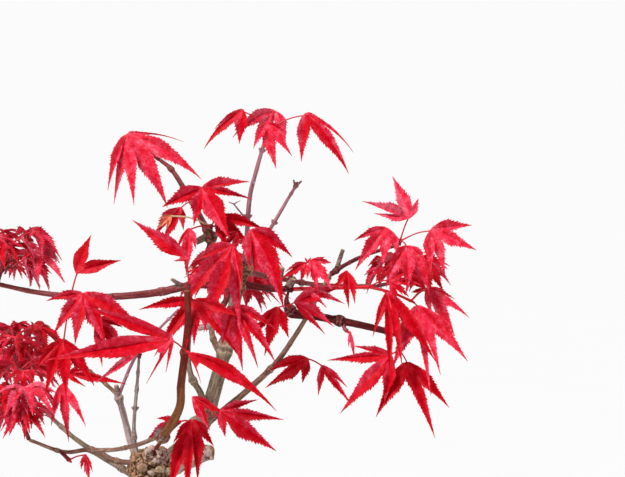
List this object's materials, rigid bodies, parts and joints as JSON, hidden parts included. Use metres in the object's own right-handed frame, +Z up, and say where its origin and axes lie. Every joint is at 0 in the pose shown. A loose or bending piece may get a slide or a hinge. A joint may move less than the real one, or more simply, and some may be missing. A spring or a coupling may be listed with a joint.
{
  "type": "bonsai japanese maple tree",
  "caption": "Small red-leaved maple tree with pruned trunk, tapering boughs and open leaf masses, standing in an oval tray pot.",
  "frame": {"origin": "centre of the pot's flat underside", "axes": "+Z up, +X to the right and -Y towards the viewer of the pictured side"},
  "size_m": [0.2676, 0.2119, 0.327],
  "materials": {
    "pot": "unglazed, matte",
    "soil": "granular",
    "bark": "smooth bark with fine cracks",
    "young_bark": "smooth young bark",
    "leaf": "thin leaf, satin"
  },
  "bodies": {
    "root": {"back_bough": "bark", "back_left_bough": "bark", "back_right_bough": "bark", "bare_twig": "young_bark", "diagonal_bough": "young_bark", "foliage_back": "leaf", "foliage_back_inner": "leaf", "foliage_back_left": "leaf", "foliage_back_right": "leaf", "foliage_centre": "leaf", "foliage_diagonal": "leaf", "foliage_front": "leaf", "foliage_front_side": "leaf", "foliage_head": "leaf", "foliage_knob": "leaf", "foliage_leader": "leaf", "foliage_leader_foot": "leaf", "foliage_left_front": "leaf", "foliage_left_low": "leaf", "foliage_left_tip": "leaf", "foliage_left_twig": "leaf", "foliage_low_left": "leaf", "foliage_lower_node": "leaf", "foliage_red_shoot": "leaf", "foliage_right_low": "leaf", "foliage_right_node": "leaf", "foliage_right_top": "leaf", "foliage_side_bough": "leaf", "foliage_thin_bough": "leaf", "foliage_top": "leaf", "foliage_top_left": "leaf", "foliage_under_right": "leaf", "foliage_upper_left": "leaf", "front_arm": "bark", "front_bough": "bark", "leader": "bark", "left_bough": "bark", "left_bough_low": "bark", "left_front_bough": "bark", "left_twig_inner": "bark", "left_twig_outer": "bark", "low_left_bough": "bark", "outer_right_bough": "young_bark", "pot": "pot", "right_bough": "bark", "short_spur": "bark", "side_bough": "bark", "soil": "soil", "thin_bough": "bark", "trunk": "bark", "upper_left_bough": "bark", "upper_right_bough": "young_bark", "whip": "young_bark"}
  },
  "joints": []
}
